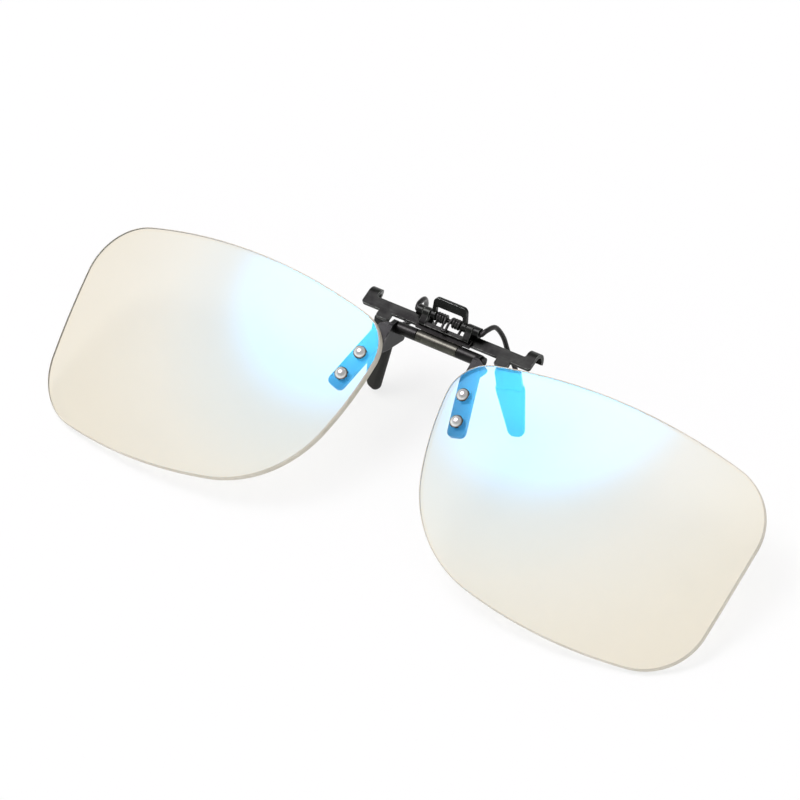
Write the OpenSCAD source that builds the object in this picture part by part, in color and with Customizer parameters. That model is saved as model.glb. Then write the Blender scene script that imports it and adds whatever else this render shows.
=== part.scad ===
// Rimless flip-up clip-on lenses, standing as an easel on the lower lens edges and two rubber legs.
// Every piece is drawn as worn (X right, Y back, Z up, lens centres at Z = 0) and then stood up.

/* [Lenses] */
// Width of one lens
lens_w = 62.2; // [50:0.1:76]
// Height of one lens
lens_h = 42; // [34:0.1:52]
// Thickness of a lens
lens_t = 1.4; // [1.2:0.1:3]
// Gap between the two lenses at the nose
bridge = 14.2; // [11.8:0.1:18]
// Outward wrap of each lens in degrees
wrap = 5.45; // [2:0.05:9]
// Radius of the front surface
base_r = 165; // [120:1:260]
// Bow radius of the top edge
top_bow = 111; // [80:1:300]
// Bow radius of the temple edge
temple_bow = 400; // [200:5:800]
// Bow radius of the nose edge
nose_bow = 58; // [45:1:200]
// Bow radius of the bottom edge
bottom_bow = 82; // [60:1:200]
// Slant of the nose edge in degrees
nose_slant = 26.2; // [15:0.1:32]
// Slant of the temple edge in degrees
temple_slant = 5.6; // [0:0.1:10]
// Setback of the slanted nose edge from the widest point
nose_inset = 3.5; // [2:0.1:6]
// Setback of the slanted temple edge from the widest point
temple_inset = 0.9; // [0.2:0.1:2]
// Corner radius, top temple side
corner_top_out = 10.7; // [6:0.1:14]
// Corner radius, top nose side
corner_top_in = 7.4; // [6:0.1:14]
// Corner radius, bottom nose side
corner_low_in = 22.5; // [14:0.1:24]
// Corner radius, bottom temple side
corner_low_out = 11.9; // [6:0.1:14]

/* [Straps and rivets] */
// Sheet thickness of the lens straps
strap_t = 0.8; // [0.5:0.05:1.2]
// Width of a strap behind the lens
strap_w = 3.3; // [3:0.1:5]
// Spacing of the two rivets of a strap
rivet_gap = 4.9; // [4:0.1:7]
// Lean of the rivet line towards the nose in degrees
rivet_lean = 15.3; // [5:0.1:25]
// Rivet line's distance in from the nose side of the lens
rivet_in = 4.15; // [3.4:0.05:6]
// Rivet line's distance down from the top of the lens
rivet_down = 12; // [9:0.1:14]
// Radius of a rivet's domed head
rivet_head_r = 1.2; // [0.9:0.05:1.5]
// Height of a rivet's domed head
rivet_head_h = 0.75; // [0.4:0.05:1]
// Radius of a rivet's shank
rivet_r = 0.55; // [0.4:0.05:0.7]
// Radius of the washer behind a strap
washer_r = 1.05; // [0.9:0.05:1.4]
// Thickness of the washer behind a strap
washer_t = 0.3; // [0.2:0.05:0.6]
// How far the cheek of a strap reaches behind the hinge
cheek_back = 4.4; // [3:0.1:6]

/* [Flip hinge] */
// Hinge axis, distance behind the front of a strap
hinge_y = 2.54; // [2.4:0.02:3.4]
// Hinge axis, distance below the top of the lens
hinge_drop = 2.35; // [2:0.05:4]
// Outer radius of the hinge barrel
barrel_r = 1.1; // [0.9:0.05:1.4]
// Length of the barrel between the two collars
barrel_len = 8.2; // [6.5:0.1:9.8]
// Radius of the hinge shaft
shaft_r = 0.5; // [0.35:0.05:0.65]
// Radius of the shaft's riveted ends
shaft_head_r = 0.9; // [0.7:0.05:1.2]

/* [Clip bar] */
// Lean of the clip away from the lenses in degrees
clip_lean = 17; // [10:0.5:24]
// Length of the clip bar
bar_len = 34.4; // [30:0.1:42]
// Height of the clip bar
bar_h = 2.1; // [1.6:0.1:2.8]
// Sheet thickness of the clip bar
bar_t = 0.7; // [0.5:0.05:1]
// Height of the bar's low edge above the hinge axis
bar_rise = 2.05; // [1.9:0.05:2.8]
// Height of the rail below the bar's middle window
rail_h = 0.8; // [0.5:0.05:1.2]
// Half width of the bar's middle window
window_half = 3.3; // [2.6:0.1:3.5]
// Width of a hook
hook_w = 1.95; // [1.8:0.1:3.2]
// Height of a hook's stem above the bar's low edge
hook_stem = 2.5; // [2.5:0.1:4]
// Inner radius of a hook's bend
hook_r = 1.3; // [1:0.05:2]
// Sweep of a hook's bend in degrees
hook_sweep = 145; // [120:1:175]
// Narrowing of a hook towards its tip
hook_taper = 1; // [0:0.1:1.2]
// Width of a jaw tab below the bar
tab_w = 2.6; // [2:0.1:3.6]
// Height of a jaw tab below the bar
tab_h = 1.45; // [1:0.05:2]
// Middle of a jaw tab, from the middle of the bar
tab_x = 12.1; // [10.6:0.1:13]

/* [Finger lever] */
// Pivot axis, distance in front of the hinge axis
pivot_fwd = 1.1; // [0.9:0.05:1.5]
// Pivot axis, height above the hinge axis
pivot_up = 4.3; // [4.1:0.05:5.2]
// Radius of the pivot rod
rod_r = 0.4; // [0.3:0.05:0.5]
// Thickness of an ear that carries the rod
ear_t = 1.25; // [0.8:0.05:1.5]
// Radius of an ear round the rod
ear_r = 1; // [0.8:0.05:1.3]
// Half width of the finger loop
loop_half = 3.55; // [3.1:0.05:4]
// Reach of the finger loop from the pivot
loop_reach = 3.8; // [3:0.1:5]
// Tilt of the finger loop above level in degrees
loop_tilt = 29; // [15:1:45]
// Width of the loop's arms
loop_arm = 0.85; // [0.7:0.05:1]
// Width of the loop's front band
loop_band = 1.7; // [1:0.1:1.9]
// Sheet thickness of the finger loop
loop_t = 0.7; // [0.5:0.05:1]
// Radius of the crimp collars on the rod
crimp_r = 1; // [0.85:0.05:1.2]
// Length of a crimp collar
crimp_len = 1.1; // [0.9:0.1:2.2]

/* [Spring] */
// Radius of the spring wire
spring_r = 0.18; // [0.14:0.01:0.2]
// Mean radius of the spring's curls
curl_r = 0.72; // [0.66:0.01:0.85]
// Rise of one curl along the rod
curl_pitch = 0.8; // [0.74:0.01:0.84]
// Curls on each side
curls = 2; // [1:1:2]

/* [Legs] */
// Radius of a leg wire
wire_r = 0.45; // [0.35:0.05:0.55]
// Length of a leg from its top edge to its tip
leg_len = 15.2; // [13:0.1:18.5]
// Drop of a leg below level in degrees
leg_drop = 20.4; // [12:0.1:30]
// Outward splay of a leg in degrees
leg_splay = 5.7; // [0:0.1:10]
// How far the left leg is bent lower, and the right leg higher, in degrees
leg_uneven = 5; // [0:0.5:6]
// Turn of each blade about its own length, outer edge down
leg_yaw = 18; // [0:1:30]
// Middle of a leg's top edge, from the middle of the clip
leg_x = 12.7; // [12.4:0.1:14]
// Leg's top edge, distance behind the hinge axis
leg_back = 3; // [2.6:0.1:4]
// Leg's top edge, height above the hinge axis
leg_up = 1.85; // [1:0.05:2.4]
// Thickness of a leg blade
blade_t = 0.8; // [0.5:0.05:1]
// Half width of a leg blade
blade_half = 2.3; // [1.8:0.05:2.6]
// Where the rubber sleeve starts along the leg
sleeve_from = 4; // [3.5:0.1:6]
// Half width of the sleeve at its top
sleeve_half = 2.65; // [2.3:0.05:3]
// Half width of the sleeve at its tip
tip_half = 1.45; // [1.2:0.05:1.8]
// Half thickness of the sleeve
sleeve_r = 0.9; // [0.8:0.05:1.1]

/* [Clearances] */
// Running clearance of a turning pin in its bore
run_fit = 0.06; // [0.02:0.01:0.1]
// Seat clearance between pieces of one assembly
seat_fit = 0.02; // [0.01:0.01:0.05]
// Side clearance between pieces that turn past each other
side_fit = 0.15; // [0.1:0.05:0.3]
// Gap between a strap and the curved back of its lens
back_fit = 0.14; // [0.1:0.01:0.2]
// Clearance of a rivet in its lens hole
hole_fit = 0.05; // [0.02:0.01:0.1]

/* [Hidden] */
$fn = 48;
black = [0.10, 0.10, 0.11];
gunmetal = [0.33, 0.33, 0.29];
silver = [0.80, 0.80, 0.82];
rubber = [0.13, 0.13, 0.12];
clear = [0.90, 0.95, 1.00, 0.45];

// Plane geometry
function dirv(a) = [cos(a), sin(a)];
function unit(v) = v / norm(v);
function turn(a) = a > 180 ? turn(a - 360) : a < -180 ? turn(a + 360) : a;
function arc(c, r, a0, a1, n) = [for (i = [0:n]) c + r * dirv(a0 + (a1 - a0) * i / n)];
function corner_arc(a, b, c, r, n) =
    let (u = unit(a - b), w = unit(c - b))
    let (h = acos(max(-1, min(1, u * w))) / 2)
    let (k = b + unit(u + w) * r / sin(h))
    let (s = b + u * r / tan(h) - k, e = b + w * r / tan(h) - k)
    let (a0 = atan2(s.y, s.x))
    arc(k, r, a0, a0 + turn(atan2(e.y, e.x) - a0), n);
function rounded(p, r, n = 5) = [
    for (i = [0:len(p) - 1])
        each r[i] < 0.01
            ? [p[i]]
            : corner_arc(p[(i + len(p) - 1) % len(p)], p[i], p[(i + 1) % len(p)], r[i], n)
];

// Lens outline: four bowed edges (temple, top, nose, bottom) joined by tangent corner arcs
edge_a = [-temple_slant, 89.6, 180 + nose_slant, 264.2];
edge_r = [temple_bow, top_bow, nose_bow, bottom_bow];
edge_d = [lens_w / 2 - temple_inset, lens_h / 2 - 0.1, lens_w / 2 - nose_inset, lens_h / 2 - 0.2];
edge_c = [for (i = [0:3]) dirv(edge_a[i]) * (edge_d[i] - edge_r[i])];
corner_r = [corner_top_out, corner_top_in, corner_low_in, corner_low_out];
function meet(c1, r1, c2, r2, s) =
    let (d = norm(c2 - c1), e = (c2 - c1) / norm(c2 - c1))
    let (a = (r1 * r1 - r2 * r2 + d * d) / (2 * d))
    c1 + a * e + s * sqrt(max(0, r1 * r1 - a * a)) * [-e.y, e.x];
function corner_c(i) =
    let (j = (i + 1) % 4, r = corner_r[i])
    let (p = meet(edge_c[i], edge_r[i] - r, edge_c[j], edge_r[j] - r, 1))
    let (q = meet(edge_c[i], edge_r[i] - r, edge_c[j], edge_r[j] - r, -1))
    let (b = dirv(edge_a[i]) + dirv(edge_a[j]))
    p * b > q * b ? p : q;
corners = [for (i = [0:3]) corner_c(i)];
function bearing(p) = atan2(p.y, p.x);
function corner_pts(i) =
    let (a0 = bearing(corners[i] - edge_c[i]), a1 = bearing(corners[i] - edge_c[(i + 1) % 4]))
    arc(corners[i], corner_r[i], a0, a0 + turn(a1 - a0), 14);
function edge_pts(j) =
    let (i = (j + 3) % 4)
    let (a0 = bearing(corners[i] - edge_c[j]), a1 = bearing(corners[j] - edge_c[j]))
    let (pts = arc(edge_c[j], edge_r[j], a0, a0 + turn(a1 - a0), 8))
    [for (k = [1:7]) pts[k]];
outline = [for (i = [0:3]) each concat(corner_pts(i), edge_pts((i + 1) % 4))];

// Places, as worn
lens_x = (bridge + lens_w) / 2;
hinge_z = lens_h / 2 - hinge_drop;
cheek_x = bridge / 2 + 1.15;
collar_x = barrel_len / 2 + side_fit;
rivet_u = rivet_in - lens_w / 2;
rivet_v = lens_h / 2 - rivet_down;
strap_y = lens_t + back_fit;
// Front of a strap's plate, square to the lens at the rivets, at the hinge
rivet_pitch = asin(rivet_v / base_r);
rivet_yaw = wrap + asin(rivet_u / base_r / cos(rivet_pitch));
lens_c = [lens_x - base_r * sin(wrap), base_r * cos(wrap) - 0.1, 0];
rivet_n = [sin(rivet_yaw) * cos(rivet_pitch), -cos(rivet_yaw) * cos(rivet_pitch), sin(rivet_pitch)];
plate_x = cheek_x - lens_c.x - base_r * rivet_n.x;
plate_z = hinge_z - base_r * rivet_n.z;
plate_y = lens_c.y + base_r * rivet_n.y - (strap_y + plate_x * rivet_n.x + plate_z * rivet_n.z) / rivet_n.y;
axis_y = plate_y + hinge_y;
echo(hinge_axis = axis_y);

// Places in the clip's own frame: distance behind and above the hinge axis
bar_b = 0.2;
leaf_t = 0.6;
brace_t = 0.5;
bar_back = bar_b + bar_t;
bar_top = bar_rise + bar_h;
hook_b = bar_back + hook_r;
hook_u = bar_rise + hook_stem;
hook_x = bar_len / 2 - hook_w;
pivot = [-pivot_fwd, pivot_up];
ear_x = loop_half + side_fit + 0.1;
crimp_x = ear_x + ear_t + side_fit;

// Leg and wire route in the clip's own frame
left_drop = leg_drop + leg_uneven;
right_drop = leg_drop - leg_uneven;
function leg_pt(y, z, drop, x = 0) =
    let (q = [x * cos(leg_yaw) - z * sin(leg_yaw), y, z * cos(leg_yaw) + x * sin(leg_yaw)])
    let (v = q.y * cos(leg_splay) - q.x * sin(leg_splay))
    [
        leg_x + q.x * cos(leg_splay) + q.y * sin(leg_splay),
        leg_back + v * cos(drop) + q.z * sin(drop),
        leg_up - v * sin(drop) + q.z * cos(drop)
    ];
function wire_knots(foot, drop) = [
    [crimp_x + 0.4, pivot.x, pivot.y],
    [crimp_x + crimp_len, pivot.x, pivot.y],
    [crimp_x + crimp_len + 0.3, pivot.x, pivot.y],
    [crimp_x + crimp_len + 0.65, pivot.x + 0.15, pivot.y + 1.2],
    [crimp_x + crimp_len + 0.95, pivot.x + 1.6, pivot.y + 3.05],
    [crimp_x + crimp_len + 1.65, pivot.x + 4.7, pivot.y + 3.5],
    [crimp_x + crimp_len + 2.65, foot.y + 0.3, pivot.y + 2.6],
    [(crimp_x + crimp_len + 2.65 + 2 * foot.x) / 3, foot.y + 1, foot.z + 3.3],
    foot + 1.4 * unit(leg_pt(0, 1, drop) - leg_pt(0, 0, drop)),
    foot
];
function knot(w, i) = w[max(0, min(len(w) - 1, i))];
function spline(w, i, t) = (
    2 * knot(w, i)
    + (knot(w, i + 1) - knot(w, i - 1)) * t
    + (2 * knot(w, i - 1) - 5 * knot(w, i) + 4 * knot(w, i + 1) - knot(w, i + 2)) * t * t
    + (3 * knot(w, i) - knot(w, i - 1) - 3 * knot(w, i + 1) + knot(w, i + 2)) * t * t * t
) / 2;
function wire_path(drop) =
    let (foot = leg_pt(sleeve_from - 0.75, blade_t / 2 + 2.5 * seat_fit, drop))
    let (w = wire_knots(foot, drop))
    [
        for (i = [0:len(w) - 2])
            for (k = [0:3]) spline(w, i, k / 4),
        foot
    ];

// Spring route in the clip's own frame: up one shank of the middle U, round the curls, then a tail
shank_x = 0.43;
shank_low = [pivot.x - 0.05, bar_rise + 0.4];
curl_x = 0.75;
function curl(a) = [
    curl_x + curl_pitch * a / 360,
    pivot.x - curl_r * cos(a),
    pivot.y + curl_r * sin(a)
];
spring_half = concat(
    [for (a = [0:30:60]) [
        shank_x * sin(a), shank_low.x - spring_r, shank_low.y - shank_x * cos(a)
    ]],
    [for (k = [0:2]) let (t = k / 3) [
        shank_x,
        shank_low.x - spring_r + t * (pivot.x - curl_r - shank_low.x + spring_r),
        shank_low.y + t * (pivot.y - 0.35 - shank_low.y)
    ]],
    [for (a = [0:45:360 * curls]) curl(a)],
    [for (k = [1:2]) curl(360 * curls) + [0, -0.3 * k, 0.4 * k]]
);
spring_path = concat(
    [for (i = [len(spring_half) - 1:-1:1]) [-spring_half[i].x, spring_half[i].y, spring_half[i].z]],
    spring_half
);
spring_gap = min([
    for (i = [0:len(spring_path) - 1])
        for (j = [i + 5:1:len(spring_path) - 1]) norm(spring_path[i] - spring_path[j])
]) - 2 * spring_r;
echo(spring_least_gap = spring_gap);

// A tube swept along points, carrying its cross direction from ring to ring
function tangents(p) = [
    for (i = [0:len(p) - 1]) unit(p[min(i + 1, len(p) - 1)] - p[max(i - 1, 0)])
];
function across(v, t) = unit(v - t * (v * t));
function carried(t, i = 0, acc = []) =
    i == len(t)
        ? acc
        : carried(t, i + 1, concat(acc, [across(i == 0 ? [0.31, 0.2, 0.93] : acc[i - 1], t[i])]));
module tube(p, r, n) {
    t = tangents(p);
    c = carried(t);
    last = (len(p) - 1) * n;
    points = [
        for (i = [0:len(p) - 1])
            for (k = [0:n - 1])
                p[i] + r * (cos(360 * k / n) * c[i] + sin(360 * k / n) * cross(t[i], c[i]))
    ];
    sides = [
        for (i = [0:len(p) - 2])
            for (k = [0:n - 1])
                let (a = i * n + k, b = i * n + (k + 1) % n)
                each [[a, a + n, b], [b, a + n, b + n]]
    ];
    ends = [
        for (k = [1:n - 2])
            each [[0, k, k + 1], [last, last + k + 1, last + k]]
    ];
    polyhedron(points, concat(sides, ends), convexity = 6);
}

// Standing on a table: the tilt at which lower lens edges and leg tips touch the table together
lens_low = [
    for (p = outline)
        let (b = sqrt(pow(base_r - lens_t, 2) - p * p))
        let (y = base_r - b)
        [y * cos(wrap) + p.x * sin(wrap) - 0.1, p.y]
];
lens_front = [
    for (p = outline)
        let (y = base_r - sqrt(base_r * base_r - p * p))
        [y * cos(wrap) + p.x * sin(wrap) - 0.1, p.y]
];
function as_worn(p) = [
    axis_y + p.y * cos(clip_lean) + p.z * sin(clip_lean),
    hinge_z - p.y * sin(clip_lean) + p.z * cos(clip_lean)
];
tip_x = tip_half - sleeve_r;
tips = [
    for (drop = [left_drop, right_drop])
        for (x = [-tip_x, tip_x]) as_worn(leg_pt(leg_len - sleeve_r, 0, drop, x))
];
function height(p, a) = p.y * sin(a) - p.x * cos(a);
function lens_floor(a) = min([for (p = lens_low) height(p, a)]);
function tip_floor(a) = min([for (p = tips) height(p, a)]) - sleeve_r;
function settle(lo, hi, n) =
    let (m = (lo + hi) / 2)
    n == 0 ? m : lens_floor(m) < tip_floor(m) ? settle(lo, m, n - 1) : settle(m, hi, n - 1);
tilt = settle(2, 60, 40);
function reach(p) = p.x * sin(tilt) + p.y * cos(tilt);
far_y = max([for (p = concat(wire_path(left_drop), wire_path(right_drop))) reach(as_worn(p))]) + wire_r;
near_y = min([for (p = lens_front) reach(p)]);
module stand() {
    translate([0, -(far_y + near_y) / 2, -lens_floor(tilt)])
        rotate([tilt - 90, 0, 0])
            children();
}
module clip() {
    stand() translate([0, axis_y, hinge_z]) rotate([-clip_lean, 0, 0]) children();
}
module lens_place() {
    stand() translate([lens_x, -0.1, 0]) rotate([0, 0, wrap]) children();
}
module left_side() {
    mirror([1, 0, 0]) children();
}
module along_x(x, length) {
    translate([x, 0, 0]) rotate([90, 0, 90]) linear_extrude(length) children();
}
module rod_x(x, length, r) {
    translate([x, 0, 0]) rotate([0, 90, 0]) cylinder(h = length, r = r);
}
module at_pivot() {
    translate([0, pivot.x, pivot.y]) children();
}

// Touching plane of the lens front midway between the two rivets
module rivet_plane() {
    c = sqrt(1 - pow(rivet_v / base_r, 2));
    translate([0, base_r, 0])
        rotate([0, 0, asin(rivet_u / base_r / c)])
            rotate([-asin(rivet_v / base_r), 0, 0])
                translate([0, -base_r, 0])
                    children();
}
module at_rivet(side) {
    rivet_plane()
        translate(side * rivet_gap / 2 * [-sin(rivet_lean), 0, cos(rivet_lean)])
            rotate([-90, 0, 0])
                children();
}

// One lens: a shell of even thickness cut to the outline, with two rivet holes
module lens() {
    difference() {
        intersection() {
            translate([0, base_r, 0]) difference() {
                sphere(r = base_r, $fn = 250);
                sphere(r = base_r - lens_t, $fn = 250);
            }
            translate([0, 16, 0]) rotate([90, 0, 0]) linear_extrude(20) polygon(outline);
        }
        for (side = [-1, 1])
            at_rivet(side) translate([0, 0, -1]) cylinder(h = lens_t + 2, r = rivet_r + hole_fit);
    }
}

// One rivet: domed head in front, shank, and a flat riveted end behind the washer
module rivet() {
    ball = (rivet_head_r * rivet_head_r + rivet_head_h * rivet_head_h) / (2 * rivet_head_h);
    shank = strap_y + strap_t + washer_t + 2 * seat_fit;
    intersection() {
        translate([0, 0, ball - rivet_head_h]) sphere(r = ball);
        translate([0, 0, -2 * ball]) cylinder(h = 2 * ball, r = 2 * ball);
    }
    translate([0, 0, -0.1]) cylinder(h = shank + 0.2, r = rivet_r);
    translate([0, 0, shank]) cylinder(h = 0.35, r = washer_r - 0.2);
}
module washer() {
    translate([0, 0, strap_y + strap_t + seat_fit]) difference() {
        cylinder(h = washer_t, r = washer_r);
        translate([0, 0, -1]) cylinder(h = washer_t + 2, r = rivet_r + seat_fit);
    }
}

// One strap: plate behind the lens, folded back at the nose into a cheek that takes the hinge shaft
strap_fold = cheek_x - lens_x - rivet_u * cos(wrap) + 0.03;
strap_up = hinge_z - rivet_v;
module strap_plate() {
    s = sin(rivet_lean);
    c = cos(rivet_lean);
    low = rivet_gap / 2 + 2.5;
    half = strap_w / 2;
    p = [
        [low * s - half * c, -low * c - half * s],
        [low * s + half * c, -low * c + half * s],
        [half / c - (strap_up - 0.8) * s / c, strap_up - 0.8],
        [strap_fold + 1.2, strap_up],
        [strap_fold, strap_up],
        [strap_fold, -(strap_fold + half / c) * c / s]
    ];
    rivet_plane() difference() {
        intersection() {
            translate([0, strap_y + strap_t, 0])
                rotate([90, 0, 0])
                    linear_extrude(strap_t)
                        polygon(rounded(p, [1, 1, 0.8, 0.5, 0, 1]));
            translate([0, base_r, 0]) sphere(r = base_r - lens_t - 0.1, $fn = 250);
        }
        for (side = [-1, 1])
            translate(side * rivet_gap / 2 * [-s, 0, c])
                rotate([-90, 0, 0])
                    cylinder(h = 9, r = rivet_r + hole_fit);
    }
}
module strap_cheek() {
    p = [
        [-hinge_y - 0.15, -5.4],
        [-hinge_y + 0.1, -0.4],
        [-1.1, 0.95],
        [0.9, 1],
        [1.9, -0.3],
        [cheek_back, -0.45],
        [cheek_back, -1.05],
        [0.3, -4.5],
        [-1.2, -5.4]
    ];
    difference() {
        along_x(cheek_x, strap_t)
            polygon(rounded(p, [0.3, 0.8, 0.5, 0.6, 0.4, 0.2, 0.3, 0.8, 0.3]));
        rod_x(cheek_x - 1, strap_t + 2, shaft_r + seat_fit);
    }
}
module strap() {
    lens_place() strap_plate();
    stand() translate([0, axis_y, hinge_z]) strap_cheek();
}

// Hinge between the straps and the clip
module hinge_shaft() {
    end = cheek_x + strap_t + seat_fit;
    color(silver) stand() translate([0, axis_y, hinge_z]) {
        rod_x(-end - 0.1, 2 * end + 0.2, shaft_r);
        for (x = [-end - 0.4, end]) rod_x(x, 0.4, shaft_head_r);
    }
}
module hinge_collar() {
    stand() translate([0, axis_y, hinge_z]) difference() {
        rod_x(collar_x, cheek_x - seat_fit - collar_x, barrel_r);
        rod_x(collar_x - 1, cheek_x + 2 - collar_x, shaft_r + seat_fit);
    }
}
module hinge_barrel() {
    color(gunmetal) clip() difference() {
        union() {
            rod_x(-barrel_len / 2, barrel_len, barrel_r);
            translate([-barrel_len / 2, bar_b - leaf_t, barrel_r - 0.45])
                cube([barrel_len, leaf_t, bar_rise + rail_h - 0.1 - barrel_r + 0.45]);
            translate([-barrel_len / 2 - 1.4, bar_b - leaf_t, barrel_r + 0.3])
                cube([barrel_len + 2.8, leaf_t, bar_rise + rail_h - 0.4 - barrel_r]);
        }
        rod_x(-barrel_len, 2 * barrel_len, shaft_r + run_fit);
    }
}

// Clip bar with a middle window, two jaw tabs below and two hooks above
module hook_profile() {
    mid = hook_r + bar_t / 2;
    turn_end = 180 - hook_sweep;
    far = 4 * mid;
    intersection() {
        difference() {
            circle(r = hook_r + bar_t);
            circle(r = hook_r);
        }
        polygon(concat([[0, 0]], [for (i = [0:4]) far * dirv(turn_end + hook_sweep * i / 4)]));
    }
}
module hook() {
    half = bar_len / 2;
    far = hook_b + hook_r + 1;
    intersection() {
        along_x(hook_x, hook_w) translate([hook_b, hook_u]) hook_profile();
        translate([0, 0, hook_u - 0.5])
            linear_extrude(hook_r + bar_t + 1)
                polygon([
                    [hook_x, bar_b - 1], [half + 1, bar_b - 1], [half + 1, far],
                    [hook_x + hook_taper, far], [hook_x, bar_back]
                ]);
    }
}
module hook_bar() {
    half = bar_len / 2;
    p = rounded([
        [window_half, bar_rise + rail_h],
        [window_half, bar_top],
        [hook_x, bar_top],
        [hook_x, hook_u],
        [half, hook_u],
        [half, bar_rise],
        [tab_x + tab_w / 2, bar_rise],
        [tab_x + tab_w / 2, bar_rise - tab_h],
        [tab_x - tab_w / 2, bar_rise - tab_h],
        [tab_x - tab_w / 2, bar_rise]
    ], [0.2, 0.3, 0.3, 0, 0, 0.5, 0, 0.4, 0.4, 0]);
    mirrored = [for (i = [len(p) - 1:-1:0]) [-p[i].x, p[i].y]];
    color(black) clip() {
        translate([0, bar_back, 0])
            rotate([90, 0, 0])
                linear_extrude(bar_t)
                    polygon(concat(p, mirrored));
        hook();
        left_side() hook();
    }
}

// Bracket in front of the barrel's leaf, with an ear for each end of the pivot rod
module pivot_bracket() {
    front = bar_b - leaf_t;
    foot = bar_rise - 0.15;
    ear = rounded([
        [bar_b, bar_rise + rail_h + 0.05],
        [front - brace_t, foot],
        [front - brace_t - 0.2, foot + 0.3],
        [pivot.x - 0.7 * ear_r, pivot.y - 0.4 * ear_r],
        [pivot.x, pivot.y + 0.8 * ear_r],
        [bar_b, pivot.y + 0.3 * ear_r]
    ], [0, 0, 0.2, 0, 0, 0.3]);
    color(black) clip() difference() {
        union() {
            translate([-ear_x - ear_t, front - brace_t, foot])
                cube([2 * (ear_x + ear_t), brace_t, rail_h]);
            for (x = [-ear_x - ear_t, ear_x]) {
                along_x(x, ear_t) difference() {
                    polygon(ear);
                    translate([front, 0]) square([leaf_t + 1, bar_rise + rail_h]);
                }
                at_pivot() rod_x(x, ear_t, ear_r);
            }
        }
        at_pivot() rod_x(-ear_x - 5, 2 * ear_x + 10, rod_r + run_fit);
    }
}
module torsion_spring() {
    color(gunmetal) clip() tube(spring_path, spring_r, 6);
}

// Finger lever: loop, rod and crimps turn together and carry the leg wires
module finger_loop() {
    wide = loop_half;
    inner = loop_half - loop_arm;
    p = rounded([
        [wide, 0], [wide - 0.25, loop_reach], [0.25 - wide, loop_reach], [-wide, 0],
        [-inner, 0], [-inner, loop_reach - loop_band], [inner, loop_reach - loop_band], [inner, 0]
    ], [0, 0.9, 0.9, 0, 0, 0.4, 0.4, 0]);
    color(black) clip() at_pivot() difference() {
        union() {
            rotate([180 - loop_tilt, 0, 0])
                translate([0, 0, -loop_t / 2])
                    linear_extrude(loop_t)
                        polygon(p);
            for (x = [-wide, inner]) rod_x(x, loop_arm, rod_r + 0.45);
        }
        rod_x(-wide - 1, 2 * wide + 2, rod_r + seat_fit);
    }
}
module pivot_rod() {
    end = crimp_x + 0.35;
    color(silver) clip() at_pivot() rod_x(-end, 2 * end, rod_r);
}
module crimp() {
    clip() at_pivot() difference() {
        rod_x(crimp_x, crimp_len, crimp_r);
        rod_x(crimp_x - 1, 1.35 + seat_fit, rod_r + seat_fit);
        rod_x(crimp_x + 0.4 - seat_fit, crimp_len, wire_r + run_fit);
    }
}
module leg_wire(drop) {
    clip() tube(wire_path(drop), wire_r, 8);
}
module leg_place(drop) {
    clip()
        translate([leg_x, leg_back, leg_up])
            rotate([-drop, 0, 0])
                rotate([0, 0, -leg_splay])
                    rotate([0, -leg_yaw, 0])
                        children();
}
module blade_shape(grow) {
    low = leg_len - 2 * sleeve_r;
    near = blade_half + grow;
    far = tip_half - 0.55 + grow;
    p = [
        [-near, -grow], [near, -grow], [near, sleeve_from], [far, low + grow],
        [-far, low + grow], [-near, sleeve_from]
    ];
    polygon(rounded(p, [0.6, 0.6, 2, 0.5, 0.5, 2]));
}
module leg_blade(drop) {
    leg_place(drop)
        translate([0, 0, -blade_t / 2])
            linear_extrude(blade_t)
                blade_shape(0);
}
module leg_sleeve(drop) {
    near = sleeve_half - sleeve_r;
    far = tip_half - sleeve_r;
    leg_place(drop) difference() {
        hull() {
            for (x = [-near, near])
                translate([x, sleeve_from, 0]) rotate([-90, 0, 0]) cylinder(h = 0.5, r = sleeve_r, $fn = 24);
            for (x = [-far, far])
                translate([x, leg_len - sleeve_r, 0]) sphere(r = sleeve_r, $fn = 24);
        }
        translate([0, 0, -blade_t / 2 - seat_fit])
            linear_extrude(blade_t + 2 * seat_fit)
                blade_shape(seat_fit);
    }
}

// Pieces
module left_lens() { color(clear) left_side() lens_place() lens(); }
module right_lens() { color(clear) lens_place() lens(); }
module left_strap() { color(black) left_side() strap(); }
module right_strap() { color(black) strap(); }
module left_upper_rivet() { color(silver) left_side() lens_place() at_rivet(1) rivet(); }
module left_lower_rivet() { color(silver) left_side() lens_place() at_rivet(-1) rivet(); }
module right_upper_rivet() { color(silver) lens_place() at_rivet(1) rivet(); }
module right_lower_rivet() { color(silver) lens_place() at_rivet(-1) rivet(); }
module left_upper_washer() { color(silver) left_side() lens_place() at_rivet(1) washer(); }
module left_lower_washer() { color(silver) left_side() lens_place() at_rivet(-1) washer(); }
module right_upper_washer() { color(silver) lens_place() at_rivet(1) washer(); }
module right_lower_washer() { color(silver) lens_place() at_rivet(-1) washer(); }
module left_hinge_collar() { color(black) left_side() hinge_collar(); }
module right_hinge_collar() { color(black) hinge_collar(); }
module left_crimp() { color(black) left_side() crimp(); }
module right_crimp() { color(black) crimp(); }
module left_leg_wire() { color(black) left_side() leg_wire(left_drop); }
module right_leg_wire() { color(black) leg_wire(right_drop); }
module left_leg_blade() { color(black) left_side() leg_blade(left_drop); }
module right_leg_blade() { color(black) leg_blade(right_drop); }
module left_leg_sleeve() { color(rubber) left_side() leg_sleeve(left_drop); }
module right_leg_sleeve() { color(rubber) leg_sleeve(right_drop); }

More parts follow.
